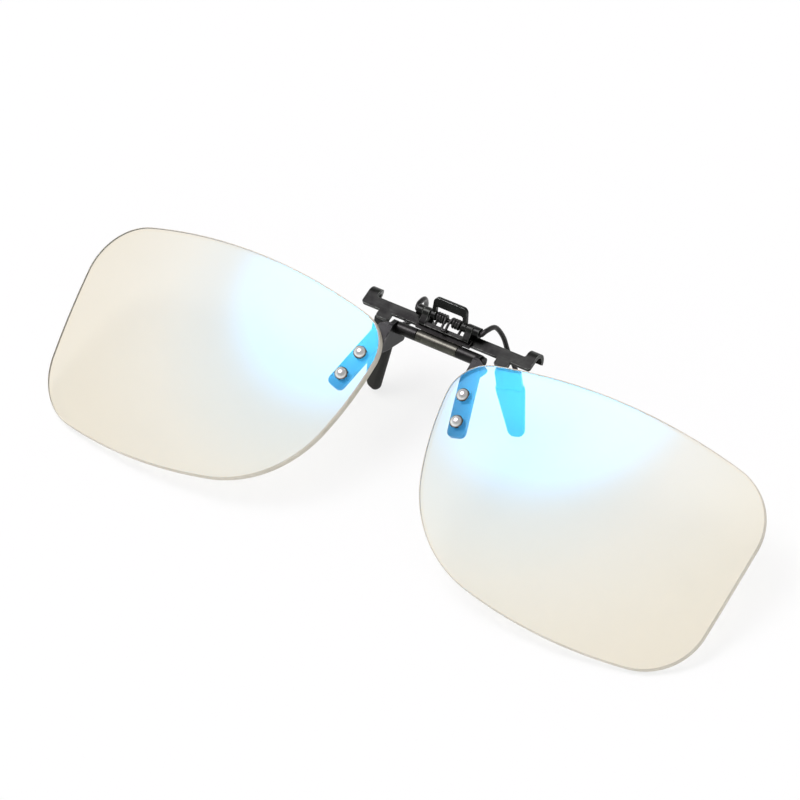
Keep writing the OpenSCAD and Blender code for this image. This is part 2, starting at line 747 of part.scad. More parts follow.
hook_bar();
hinge_barrel();
pivot_bracket();
torsion_spring();
left_lens();
right_lens();
left_strap();
right_strap();
left_upper_rivet();
left_lower_rivet();
right_upper_rivet();
right_lower_rivet();
left_upper_washer();
left_lower_washer();
right_upper_washer();
right_lower_washer();
hinge_shaft();
left_hinge_collar();
right_hinge_collar();
finger_loop();
pivot_rod();
left_crimp();
right_crimp();
left_leg_wire();
right_leg_wire();
left_leg_blade();
right_leg_blade();
left_leg_sleeve();
right_leg_sleeve();
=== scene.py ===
import math
import bpy
import bmesh
from mathutils import Matrix, Vector
from mathutils.geometry import delaunay_2d_cdt


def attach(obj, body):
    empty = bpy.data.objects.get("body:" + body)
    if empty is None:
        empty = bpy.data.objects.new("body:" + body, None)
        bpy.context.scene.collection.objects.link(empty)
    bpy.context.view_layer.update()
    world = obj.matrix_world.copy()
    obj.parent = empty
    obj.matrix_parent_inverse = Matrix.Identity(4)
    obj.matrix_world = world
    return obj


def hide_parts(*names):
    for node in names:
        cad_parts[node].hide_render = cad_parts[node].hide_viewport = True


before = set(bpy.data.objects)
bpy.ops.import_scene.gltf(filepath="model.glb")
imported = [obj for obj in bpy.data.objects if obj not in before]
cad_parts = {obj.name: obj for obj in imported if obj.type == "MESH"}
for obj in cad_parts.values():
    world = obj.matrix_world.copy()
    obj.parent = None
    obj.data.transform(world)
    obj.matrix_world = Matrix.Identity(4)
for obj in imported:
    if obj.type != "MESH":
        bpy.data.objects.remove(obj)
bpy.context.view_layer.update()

MM = 0.001
rad = math.radians

# Sizes are in millimetres and angles in degrees

# Lens: a shell between two spheres, turned by its wrap, and the place of its middle as worn
LENS_T = 1.4
BASE_R = 165.0
WRAP = 5.45
LENS_X = 38.2
LENS_Y = -0.1
RIM_BEVEL = 0.2

# Lens outline: bearing, bow radius and distance of each edge, and the corner that follows it
EDGE_A = (-5.6, 89.6, 206.2, 264.2)
EDGE_R = (400.0, 111.0, 58.0, 82.0)
EDGE_D = (30.2, 20.9, 27.6, 20.8)
CORNER_R = (10.7, 7.4, 22.5, 11.9)

# Lens mesh: steps on the outline and holes, and a grid that keeps clear of both
CORNER_STEPS = 26
EDGE_STEPS = 22
HOLE_STEPS = 28
GRID_STEP = 1.9
# Rows of even triangles, spread a little
GRID_RISE = GRID_STEP * 0.866 * 1.12
GRID_ROWS = 13
GRID_COLUMNS = 19
RIM_CLEAR = 1.3
HOLE_CLEAR = 0.7
SAME_POINT = 1e-6

# Cool tint of a lens, a painted reflection of the overhead lamp: its middle, from the lens's own middle, and
# its reach
REFLECTION_TINT_AT = (-18.0, 1.2, 13.0)
REFLECTION_TINT_REACH = 50.0

# Rivets: middle of a pair on the lens, spacing, lean and radii
RIVET_U = -26.95
RIVET_V = 9.0
RIVET_GAP = 4.9
RIVET_LEAN = 15.3
HOLE_R = 0.6
HEAD_R = 1.2

# How the object stands on the table
TILT = 25.7344
MID_Y = 4.6292
FLOOR_Z = -13.8029

# Hinge axis, lean of the clip and the reach from the axis past which the barrel's leaf is black
AXIS_Y = 4.60855
HINGE_Z = 18.65
LEAN = 17.0
BARREL_REACH = 1.14

# Lever: pivot, back and up from the hinge axis, crimps and leg wires
PIVOT_B = -1.1
PIVOT_U = 4.3
CRIMP_X = 5.2
CRIMP_LEN = 1.1
WIRE_R = 0.45
WIRE_SIDES = 20
WIRE_STEPS = 10
# Ends of a leg wire: how far it reaches into the crimp, stops short of the sleeve and lies over the blade
WIRE_IN = 0.4
WIRE_SHORT = 0.75
WIRE_OVER = 0.05

# Legs
LEG_X = 12.7
LEG_BACK = 3.0
LEG_UP = 1.85
SPLAY = 5.7
LEG_YAW = 18.0
LEG_LEN = 15.2
LEG_DROP = {"left": 25.4, "right": 15.4}
BLADE_T = 0.8

# Rubber sleeve: start, half widths at mouth and tip, half thickness and points round it
SLEEVE_FROM = 4.0
SLEEVE_HALF = 2.65
TIP_HALF = 1.6
SLEEVE_R = 0.9
SLEEVE_AROUND = 48
# Pocket inside the mouth: depth, half width, half height and corner radius of two rows
POCKET = ((1.2, 2.32, 0.44, 0.42), (0.1, 2.34, 0.46, 0.44))
# Rolled lip: length, height and width of the roll, and how far its middle lies below the sleeve's face
LIP_LONG = 0.2
LIP_TALL = 0.24
LIP_WIDE = 0.16
LIP_SINK = 0.2
LIP_ROWS = 7
LIP_TURN = 22.5
# Body: start behind the mouth, and a slight wave with its turn in radians along the body
BODY_START = 0.55
BODY_ROWS = 21
WAVE_HIGH = 0.012
WAVE_TURN = 9
# Rounded tip, thinned towards its end
TIP_ROWS = 12
TIP_TURN = 7.3
THIN_FROM = 0.3
THIN_BY = 2.6

# Torsion spring: wire, curls, and the U that stands on the bar
SPRING_R = 0.245
SPRING_SIDES = 14
SPRING_STEPS = 5
CURL_R = 0.72
CURL_PITCH = 0.52
CURLS = 3.5
CURL_FROM = 0.62
BAR_RISE = 2.05
U_CLEAR = 0.05
U_LIFT = 0.4
U_HALF = 0.43
U_BELOW = 0.35
TAIL_OUT = 0.04
TAIL_DOWN = 0.5

# Domed end of a wire
DOME_ROWS = 4
DOME_TURN = 20
DOME_FLAT = 0.5

# Camera: place in metres, axes, focal length and picture width in pixels, sensor width
CAMERA_AT = Vector((0.35642, -0.437295, 0.662422))
CAMERA_RIGHT = Vector((0.839192, 0.534607, -0.099761))
CAMERA_DOWN = Vector((0.351474, -0.673139, -0.650654))
CAMERA_AHEAD = Vector((-0.414997, 0.51096, -0.752793))
FOCAL_PX = 4999.6
PICTURE_PX = 800.0
SENSOR = 36.0

# Stage: way to the lamp, radius of the floor in metres and its drop
LAMP = Vector((-0.386, -0.03, 1.0))
FLOOR_R = 6.0
FLOOR_DROP = 0.02

# Corners of a carried-over mesh within one step count as one place
STEPS_PER_METRE = 1e7


# Two coordinates turned by an angle
def turned_by(angle, a, b):
    s, c = math.sin(rad(angle)), math.cos(rad(angle))
    return a * c - b * s, a * s + b * c


# A place as worn, moved to how the object stands on the table, in metres
def stand(p):
    s, c = math.sin(rad(TILT)), math.cos(rad(TILT))
    x, y, z = p
    return Vector((x, s * y + c * z - MID_Y, -c * y + s * z - FLOOR_Z)) * MM


# A place on the clip: sideways, back from the hinge axis and up from it
def clip(p):
    s, c = math.sin(rad(LEAN)), math.cos(rad(LEAN))
    x, b, u = p
    return stand((x, AXIS_Y + b * c + u * s, HINGE_Z - b * s + u * c))


# Right leg: across, along and square to the blade, to a place on the clip
def leg(p, drop):
    x, y, z = p
    x, z = turned_by(LEG_YAW, x, z)
    x, y = turned_by(-SPLAY, x, y)
    y, z = turned_by(-drop, y, z)
    return (LEG_X + x, LEG_BACK + y, LEG_UP + z)


# Right lens: across, back and up from its middle, to a place as worn
def lens_worn(p):
    x, y = turned_by(WRAP, p[0], p[1])
    return (LENS_X + x, LENS_Y + y, p[2])


def mirrored(p):
    return (-p[0], p[1], p[2])


SIDES = {"left": mirrored, "right": tuple}


# Rivets stand square to the lens
def rivet_turn():
    c = math.sqrt(1 - (RIVET_V / BASE_R) ** 2)
    return (Matrix.Rotation(math.asin(RIVET_U / BASE_R / c), 3, "Z")
            @ Matrix.Rotation(-math.asin(RIVET_V / BASE_R), 3, "X"))


def rivet_spots():
    across, up = math.sin(rad(RIVET_LEAN)), math.cos(rad(RIVET_LEAN))
    return [(-s * RIVET_GAP / 2 * across, s * RIVET_GAP / 2 * up) for s in (1, -1)]


# A point on each rivet's axis and the axis, on the right lens
def rivet_axes():
    turn, axes = rivet_turn(), []
    for x, z in rivet_spots():
        ends = [stand(lens_worn(tuple(Vector((0, BASE_R, 0)) + turn @ Vector((x, -r, z)))))
                for r in (BASE_R, BASE_R + 1)]
        axes.append((ends[0], (ends[1] - ends[0]).normalized()))
    return axes


# Builds a node tree: most helpers return an output that the next one takes
class Nodes:
    def __init__(self, owner, output):
        owner.use_nodes = True
        self.owner = owner
        self.tree = owner.node_tree
        self.tree.nodes.clear()
        self.out = self.add(output)

    def add(self, kind, **props):
        n = self.tree.nodes.new(kind)
        for k, v in props.items():
            setattr(n, k, v)
        return n

    def put(self, socket, value):
        if isinstance(value, bpy.types.NodeSocket):
            self.tree.links.new(value, socket)
        elif isinstance(value, tuple) and socket.type == "RGBA":
            socket.default_value = (*value, 1.0)
        else:
            socket.default_value = value

    def fill(self, node, **values):
        for k, v in values.items():
            self.put(node.inputs[k.replace("_", " ")], v)
        return node

    def surface(self, shader):
        self.put(self.out.inputs["Surface"], shader)
        return self.owner

    def coords(self):
        return self.add("ShaderNodeTexCoord").outputs["Object"]

    def stretch(self, vector, scale):
        n = self.fill(self.add("ShaderNodeMapping"), Vector=vector, Scale=scale)
        return n.outputs["Vector"]

    # The left half folded onto the right one
    def folded(self, vector):
        at = self.fill(self.add("ShaderNodeSeparateXYZ"), Vector=vector).outputs
        half = self.add("ShaderNodeCombineXYZ")
        self.fill(half, X=self.math("ABSOLUTE", at["X"]), Y=at["Y"], Z=at["Z"])
        return half.outputs["Vector"]

    def noise(self, vector, scale, detail, rough):
        n = self.add("ShaderNodeTexNoise")
        self.fill(n, Vector=vector, Scale=scale, Detail=detail, Roughness=rough)
        return n.outputs["Fac"]

    def ramp(self, value, *stops):
        n = self.add("ShaderNodeValToRGB")
        elements = n.color_ramp.elements
        while len(elements) < len(stops):
            elements.new(0.5)
        for element, (place, colour) in zip(elements, stops):
            element.position = place
            element.color = (*colour, 1.0) if isinstance(colour, tuple) else (colour, colour, colour, 1.0)
        self.put(n.inputs["Fac"], value)
        return n.outputs["Color"]

    def math(self, op, *values):
        n = self.add("ShaderNodeMath", operation=op)
        for socket, v in zip(n.inputs, values):
            self.put(socket, v)
        return n.outputs["Value"]

    def vector(self, op, *values):
        n = self.add("ShaderNodeVectorMath", operation=op)
        for socket, v in zip(n.inputs, values):
            self.put(socket, v)
        return n.outputs

    def mix(self, share, a, b, blend="MIX"):
        n = self.add("ShaderNodeMix", data_type="RGBA", blend_type=blend)
        sockets = {s.identifier: s for s in (*n.inputs, *n.outputs)}
        for key, v in (("Factor_Float", share), ("A_Color", a), ("B_Color", b)):
            self.put(sockets[key], v)
        return sockets["Result_Color"]

    def mix_shader(self, share, a, b):
        n = self.add("ShaderNodeMixShader")
        for socket, v in zip(n.inputs, (share, a, b)):
            self.put(socket, v)
        return n.outputs["Shader"]

    def bump(self, height, strength, distance, normal=None):
        n = self.fill(self.add("ShaderNodeBump"), Height=height, Strength=strength, Distance=distance)
        if normal is not None:
            self.put(n.inputs["Normal"], normal)
        return n.outputs["Normal"]

    # How near an edge is, and the normal with that edge rounded
    def edges(self, radius):
        bevel = self.fill(self.add("ShaderNodeBevel", samples=6), Radius=radius).outputs["Normal"]
        true = self.add("ShaderNodeNewGeometry").outputs["Normal"]
        same = self.vector("DOT_PRODUCT", bevel, true)["Value"]
        return self.math("SUBTRACT", 1.0, same), bevel

    def principled(self, **values):
        return self.fill(self.add("ShaderNodeBsdfPrincipled"), **values).outputs["BSDF"]


def material(name):
    return Nodes(bpy.data.materials.new(name), "ShaderNodeOutputMaterial")


def scaled(colour, by):
    return tuple(min(1.0, c * by) for c in colour)


# Dark stamped metal: brushed along its length, patchy finish, and edges lightened partly by wear and partly
# by a painted highlight
def stamped(name, dark, light, worn_and_lit_edge, rough):
    m = material(name)
    co = m.coords()
    brush = m.noise(m.stretch(co, (160.0, 2600.0, 2600.0)), 1.0, 6.0, 0.6)
    patch = m.noise(co, 420.0, 5.0, 0.6)
    grain = m.noise(co, 5200.0, 2.0, 0.5)
    chips = m.noise(co, 1500.0, 4.0, 0.55)
    edge, normal = m.edges(0.18 * MM)
    base = m.mix(m.ramp(patch, (0.35, 0.0), (0.7, 1.0)), dark, light)
    base = m.mix(m.ramp(brush, (0.3, 0.0), (0.75, 0.6)), base, scaled(dark, 0.62))
    # Lighter edges: partly bare-metal wear, partly a painted highlight where light catches the edges
    edge_wear_and_highlight = m.math("MULTIPLY", m.ramp(edge, (0.01, 0.0), (0.15, 1.0)), m.ramp(chips, (0.4, 0.15), (0.62, 1.0)))
    base = m.mix(edge_wear_and_highlight, base, worn_and_lit_edge)
    uneven = m.math("ADD", m.math("MULTIPLY", brush, 0.6), m.math("MULTIPLY", patch, 0.4))
    height = m.math("ADD", brush, m.math("MULTIPLY", grain, 0.6))
    return m.surface(m.principled(
        Metallic=0.8, Base_Color=base, Roughness=m.ramp(uneven, (0.3, rough - 0.08), (0.7, rough + 0.1)),
        Normal=m.bump(height, 0.25, 0.02 * MM, normal)))


# Black where the barrel's leaf stands out from its round part
def blackened_leaf(m, co, patch, base):
    at = m.fill(m.add("ShaderNodeSeparateXYZ"), Vector=co).outputs
    hinge = clip((0, 0, 0))
    dy, dz = m.math("SUBTRACT", at["Y"], hinge.y), m.math("SUBTRACT", at["Z"], hinge.z)
    away = m.math("SQRT", m.math("ADD", m.math("MULTIPLY", dy, dy), m.math("MULTIPLY", dz, dz)))
    black = m.mix(patch, (0.006, 0.006, 0.006), (0.02, 0.02, 0.019))
    return m.mix(m.math("GREATER_THAN", away, BARREL_REACH * MM), base, black)


# Painted shade: a dark ring round the foot of each rivet head, where it meets the lens
def painted_shade_at_rivet_foot(m, co, base):
    near = 1.0
    for point, along in rivet_axes():
        off = m.vector("SUBTRACT", m.folded(co), point)["Vector"]
        across = m.vector("CROSS_PRODUCT", off, along)["Vector"]
        near = m.math("MINIMUM", near, m.vector("LENGTH", across)["Value"])
    foot = m.ramp(m.math("DIVIDE", near, HEAD_R * MM), (0.78, 0.0), (0.94, 0.92))
    return m.mix(foot, base, (0.03, 0.03, 0.03))


# Turned metal: fine rings across X and a painted highlight that brightens the edges
def turned(name, dark, light, rough, leaf=False, foot=False):
    m = material(name)
    co = m.coords()
    rings = m.noise(m.stretch(co, (5200.0, 120.0, 120.0)), 1.0, 4.0, 0.6)
    patch = m.noise(co, 500.0, 4.0, 0.6)
    edge, normal = m.edges(0.1 * MM)
    base = m.mix(m.ramp(patch, (0.3, 0.0), (0.72, 1.0)), dark, light)
    base = m.mix(m.ramp(rings, (0.35, 0.0), (0.7, 0.35)), base, scaled(dark, 0.55))
    if leaf:
        base = blackened_leaf(m, co, patch, base)
    # Painted highlight: the edges are brightened in the colour itself
    base = m.mix(m.ramp(edge, (0.02, 0.0), (0.25, 0.7)), base, scaled(light, 1.5))
    # Painted shade round the foot of the rivet heads
    if foot:
        base = painted_shade_at_rivet_foot(m, co, base)
    uneven = m.math("ADD", m.math("MULTIPLY", rings, 0.5), m.math("MULTIPLY", patch, 0.5))
    return m.surface(m.principled(
        Metallic=1.0, Base_Color=base, Roughness=m.ramp(uneven, (0.3, rough - 0.06), (0.7, rough + 0.1)),
        Normal=m.bump(rings, 0.2, 0.02 * MM, normal)))


# Black rubber: soft patches, a little dust and a fine grain
def rubber(name):
    m = material(name)
    co = m.coords()
    fine = m.noise(co, 6500.0, 3.0, 0.6)
    soft = m.noise(co, 700.0, 4.0, 0.6)
    dust = m.noise(co, 2600.0, 5.0, 0.7)
    base = m.mix(m.ramp(soft, (0.3, 0.0), (0.75, 1.0)), (0.009, 0.0095, 0.0085), (0.021, 0.022, 0.0195))
    base = m.mix(m.ramp(dust, (0.62, 0.0), (0.8, 0.35)), base, (0.12, 0.12, 0.11))
    height = m.math("ADD", fine, m.math("MULTIPLY", soft, 1.4))
    return m.surface(m.principled(
        Specular_IOR_Level=0.28, Base_Color=base, Roughness=m.ramp(soft, (0.3, 0.5), (0.7, 0.68)),
        Normal=m.bump(height, 0.3, 0.03 * MM)))


# Clear lens with a blue coating, and a cooler tint round the upper corner at the nose that paints in the
# overhead lamp's reflection
def clear_lens(name):
    m = material(name)
    co = m.coords()
    smear = m.noise(m.stretch(co, (60.0, 90.0, 90.0)), 1.0, 5.0, 0.6)
    # Painted reflection: the colour turns cooler round the spot where the overhead lamp is reflected
    away = m.vector("DISTANCE", m.folded(co), stand(lens_worn(REFLECTION_TINT_AT)))["Value"]
    painted_reflection_tint = m.ramp(m.math("DIVIDE", away, REFLECTION_TINT_REACH * MM), (0.2, (0.88, 0.95, 1.0)), (0.62, (1.0, 1.0, 1.0)))
    base = m.mix(smear, (0.886, 0.858, 0.755), (0.914, 0.886, 0.785))
    glass = m.principled(
        Transmission_Weight=1.0, IOR=1.7, Specular_Tint=(0.05, 0.53, 1.0),
        Base_Color=m.mix(1.0, base, painted_reflection_tint, "MULTIPLY"), Roughness=m.ramp(smear, (0.35, 0.0), (0.75, 0.03)))
    # Light passes through to the floor, so that the lens throws a pale shadow
    clear = m.fill(m.add("ShaderNodeBsdfTransparent"), Color=(0.6, 0.6, 0.6)).outputs["BSDF"]
    shadow = m.add("ShaderNodeLightPath").outputs["Is Shadow Ray"]
    return m.surface(m.mix_shader(shadow, glass, clear))


# Ground rim of a lens: milky, with fine grinding marks
def ground_rim(name):
    m = material(name)
    co = m.coords()
    grind = m.noise(co, 3800.0, 4.0, 0.65)
    tone = m.noise(co, 160.0, 3.0, 0.5)
    base = m.mix(m.ramp(tone, (0.3, 0.0), (0.7, 1.0)), (0.55, 0.515, 0.42), (0.65, 0.615, 0.52))
    return m.surface(m.principled(
        Transmission_Weight=0.12, IOR=1.5, Base_Color=base, Roughness=m.ramp(grind, (0.3, 0.35), (0.7, 0.6)),
        Normal=m.bump(grind, 0.3, 0.03 * MM)))


# Floor: pale, and bright enough to be white while it keeps the object's shadow
def pale_floor(name):
    m = material(name)
    tone = m.noise(m.coords(), 3.0, 2.0, 0.5)
    pale = m.mix(tone, (0.894, 0.922, 0.894), (0.914, 0.942, 0.914))
    matt = m.fill(m.add("ShaderNodeBsdfDiffuse"), Color=pale).outputs["BSDF"]
    glow = m.fill(m.add("ShaderNodeEmission"), Strength=0.972).outputs["Emission"]
    ray = m.add("ShaderNodeLightPath").outputs
    seen = m.math("MAXIMUM", ray["Is Camera Ray"],
                  m.math("MAXIMUM", ray["Is Glossy Ray"], ray["Is Transmission Ray"]))
    return m.surface(m.mix_shader(m.math("MULTIPLY", seen, 0.78), matt, glow))


bar_metal = stamped("bar_metal", dark=(0.007, 0.0075, 0.0068), light=(0.033, 0.036, 0.032),
                    worn_and_lit_edge=(0.4, 0.42, 0.39), rough=0.33)
loop_metal = stamped("loop_metal", dark=(0.007, 0.0075, 0.007), light=(0.019, 0.0205, 0.019),
                     worn_and_lit_edge=(0.28, 0.3, 0.28), rough=0.26)
strap_metal = stamped("strap_metal", dark=(0.006, 0.006, 0.0065), light=(0.016, 0.016, 0.0165),
                      worn_and_lit_edge=(0.36, 0.36, 0.36), rough=0.33)
barrel_metal = turned("barrel_metal", dark=(0.06, 0.06, 0.05), light=(0.115, 0.115, 0.098),
                      rough=0.3, leaf=True)
collar_metal = turned("collar_metal", dark=(0.02, 0.02, 0.02), light=(0.045, 0.045, 0.043), rough=0.32)
# Rivet heads carry painted shade round their foot
rivet_silver = turned("rivet_silver", dark=(0.84, 0.845, 0.835), light=(0.95, 0.955, 0.94),
                      rough=0.17, foot=True)
washer_silver = turned("washer_silver", dark=(0.84, 0.835, 0.835), light=(0.95, 0.945, 0.94), rough=0.17)
wire_metal = stamped("wire_metal", dark=(0.02, 0.02, 0.02), light=(0.05, 0.05, 0.049),
                     worn_and_lit_edge=(0.2, 0.2, 0.2), rough=0.3)
spring_steel = stamped("spring_steel", dark=(0.03, 0.03, 0.03), light=(0.07, 0.07, 0.067),
                       worn_and_lit_edge=(0.3, 0.3, 0.3), rough=0.28)
sleeve_rubber = rubber("sleeve_rubber")
lens_clear = clear_lens("lens_clear")
lens_rim = ground_rim("lens_rim")

FINISH = {
    "hook_bar": bar_metal, "pivot_bracket": bar_metal, "hinge_barrel": barrel_metal,
    "hinge_shaft": collar_metal, "pivot_rod": collar_metal, "finger_loop": loop_metal,
}
for side in SIDES:
    FINISH[f"{side}_hinge_collar"] = collar_metal
    FINISH[f"{side}_crimp"] = loop_metal
    FINISH[f"{side}_strap"] = strap_metal
    FINISH[f"{side}_leg_blade"] = strap_metal
    for level in ("upper", "lower"):
        FINISH[f"{side}_{level}_rivet"] = rivet_silver
        FINISH[f"{side}_{level}_washer"] = washer_silver


# Shading normals of a carried-over node: smooth over curved faces, sharp at real edges
def soften(mesh, angle=32.0):
    limit = math.cos(rad(angle))

    def place(v):
        return tuple(round(c * STEPS_PER_METRE) for c in mesh.vertices[v].co)

    faces_at = {}
    for poly in mesh.polygons:
        for v in poly.vertices:
            faces_at.setdefault(place(v), []).append(poly.index)
    normal = [p.normal.copy() for p in mesh.polygons]
    area = [p.area for p in mesh.polygons]
    corners = []
    for poly in mesh.polygons:
        own = normal[poly.index]
        for v in poly.vertices:
            total = Vector()
            for q in faces_at[place(v)]:
                if normal[q].dot(own) >= limit:
                    total += normal[q] * area[q]
            corners.append(total.normalized() if total.length > 0 else own)
    mesh.polygons.foreach_set("use_smooth", [True] * len(mesh.polygons))
    mesh.normals_split_custom_set(corners)


for name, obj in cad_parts.items():
    if name in FINISH:
        obj.data.materials.clear()
        obj.data.materials.append(FINISH[name])
        soften(obj.data)


# A new piece that is shown in place of a node
def piece(name, verts, faces, mats, body, stands_for, flip=False):
    mesh = bpy.data.meshes.new(name)
    if flip:
        faces = [tuple(reversed(f)) for f in faces]
    mesh.from_pydata([tuple(v) for v in verts], [], faces)
    for m in mats:
        mesh.materials.append(m)
    mesh.polygons.foreach_set("use_smooth", [True] * len(mesh.polygons))
    mesh.update()
    obj = bpy.data.objects.new(name, mesh)
    bpy.context.scene.collection.objects.link(obj)
    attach(obj, body)
    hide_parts(stands_for)
    return obj


# A smooth curve through knots
def spline(knots, steps):
    def at(i):
        return Vector(knots[max(0, min(len(knots) - 1, i))])
    out = []
    for i in range(len(knots) - 1):
        a, b, c, d = at(i - 1), at(i), at(i + 1), at(i + 2)
        for k in range(steps):
            t = k / steps
            out.append((2 * b + (c - a) * t + (2 * a - 5 * b + 4 * c - d) * t * t
                        + (3 * b - a - 3 * c + d) * t ** 3) / 2)
    out.append(at(len(knots) - 1))
    return out


# Faces of a closed tube: quads between the rows and a cap at each end
def tube_faces(rows, around):
    faces = []
    for i in range(rows - 1):
        for k in range(around):
            a, b = i * around + k, i * around + (k + 1) % around
            faces.append((a, b, b + around, a + around))
    last = (rows - 1) * around
    faces.append(tuple(range(around - 1, -1, -1)))
    faces.append(tuple(range(last, last + around)))
    return faces


# A round wire along points, with domed ends
def wire(path, radius, sides):
    n = len(path)
    along = [(path[min(i + 1, n - 1)] - path[max(i - 1, 0)]).normalized() for i in range(n)]
    dome = []
    for k in range(1, DOME_ROWS + 1):
        a = rad(k * DOME_TURN)
        dome.append((radius * math.sin(a) * DOME_FLAT, radius * math.cos(a)))
    rows = [(path[0] - along[0] * out, along[0], r) for out, r in reversed(dome)]
    rows += [(path[i], along[i], radius) for i in range(n)]
    rows += [(path[-1] + along[-1] * out, along[-1], r) for out, r in dome]
    # Any direction off the path starts the first row, and each row carries it on
    u = Vector((0.31, 0.2, 0.93))
    verts = []
    for c, t, r in rows:
        u = (u - t * u.dot(t)).normalized()
        w = t.cross(u)
        for k in range(sides):
            a = 2 * math.pi * k / sides
            verts.append(c + r * (math.cos(a) * u + math.sin(a) * w))
    return verts, tube_faces(len(rows), sides)


# Right leg wire: out of the crimp, up, back and down to the blade just before the sleeve
def leg_knots(drop):
    foot = Vector(leg((0, SLEEVE_FROM - WIRE_SHORT, BLADE_T / 2 + WIRE_OVER), drop))
    square = Vector(leg((0, 0, 1), drop)) - Vector(leg((0, 0, 0), drop))
    e, b, u = CRIMP_X + CRIMP_LEN, PIVOT_B, PIVOT_U
    bend = e + 2.65
    return [
        (CRIMP_X + WIRE_IN, b, u), (e, b, u), (e + 0.3, b, u), (e + 0.65, b + 0.15, u + 1.2),
        (e + 0.95, b + 1.6, u + 3.05), (e + 1.65, b + 4.7, u + 3.5),
        (bend, foot.y + 0.3, u + 2.6), ((bend + 2 * foot.x) / 3, foot.y + 1, foot.z + 3.3),
        tuple(foot + 1.4 * square), tuple(foot)]


for side, turn in SIDES.items():
    path = [clip(turn(tuple(p))) for p in spline(leg_knots(LEG_DROP[side]), WIRE_STEPS)]
    v, f = wire(path, WIRE_R * MM, WIRE_SIDES)
    piece(f"{side}_bent_wire", v, f, [wire_metal], "finger_lever", f"{side}_leg_wire")


# Right half of the torsion spring: half of the U, its shank, the curls on the pivot and a tail
def spring_half():
    low_b, low_u = PIVOT_B - U_CLEAR - SPRING_R, BAR_RISE + U_LIFT
    knots = []
    for a in (0, 30, 60):
        knots.append((U_HALF * math.sin(rad(a)), low_b, low_u - U_HALF * math.cos(rad(a))))
    for k in range(3):
        t = k / 3
        knots.append((U_HALF, low_b + t * (PIVOT_B - CURL_R - low_b),
                      low_u + t * (PIVOT_U - U_BELOW - low_u)))
    for a in range(0, int(360 * CURLS) + 1, 30):
        knots.append((CURL_FROM + CURL_PITCH * a / 360, PIVOT_B - CURL_R * math.cos(rad(a)),
                      PIVOT_U + CURL_R * math.sin(rad(a))))
    x, b, u = knots[-1]
    for k in (1, 2, 3):
        knots.append((x, b + TAIL_OUT * k, u - TAIL_DOWN * k))
    return knots


half = spring_half()
knots = [mirrored(p) for p in half[:0:-1]] + half
path = [clip(tuple(p)) for p in spline(knots, SPRING_STEPS)]
v, f = wire(path, SPRING_R * MM, SPRING_SIDES)
piece("wound_spring", v, f, [spring_steel], "clip_base", "torsion_spring")


# Rows of the rubber sleeve: place along the leg, half width, half height and corner radius
def sleeve_rows():
    rows = [(SLEEVE_FROM + deep, w, h, r) for deep, w, h, r in POCKET]
    for k in range(1, LIP_ROWS + 1):
        a = rad(k * LIP_TURN)
        h = SLEEVE_R - LIP_SINK - LIP_TALL * math.cos(a)
        w = SLEEVE_HALF - LIP_WIDE - LIP_WIDE * math.cos(a)
        rows.append((SLEEVE_FROM + LIP_LONG * (1 - math.sin(a)), w, h, h))
    start, tip = SLEEVE_FROM + BODY_START, LEG_LEN - TIP_HALF
    for k in range(1, BODY_ROWS + 1):
        t = k / BODY_ROWS
        h = SLEEVE_R + WAVE_HIGH * math.sin(WAVE_TURN * t)
        rows.append((start + t * (tip - start), SLEEVE_HALF + (TIP_HALF - SLEEVE_HALF) * t, h, h))
    for k in range(1, TIP_ROWS + 1):
        a = rad(k * TIP_TURN)
        h = SLEEVE_R * (1 - max(0.0, math.sin(a) - THIN_FROM) ** 3 * THIN_BY)
        rows.append((tip + TIP_HALF * math.sin(a), TIP_HALF * math.cos(a), h, h))
    return rows


# Rubber sleeve: flat tapering tube with a rolled mouth and a rounded tip
def sleeve(drop, turn):
    rows, verts = sleeve_rows(), []
    for y, w, h, r in rows:
        r = min(r, w, h)
        for k in range(SLEEVE_AROUND):
            a = 2 * math.pi * (k + 0.5) / SLEEVE_AROUND
            x = (w - r) * (1 if math.cos(a) > 0 else -1) + r * math.cos(a)
            z = (h - r) * (1 if math.sin(a) > 0 else -1) + r * math.sin(a)
            verts.append(clip(turn(leg((x, y, z), drop))))
    return verts, tube_faces(len(rows), SLEEVE_AROUND)


for side, turn in SIDES.items():
    v, f = sleeve(LEG_DROP[side], turn)
    piece(f"{side}_rubber_sleeve", v, f, [sleeve_rubber], "finger_lever", f"{side}_leg_sleeve",
          flip=side == "right")


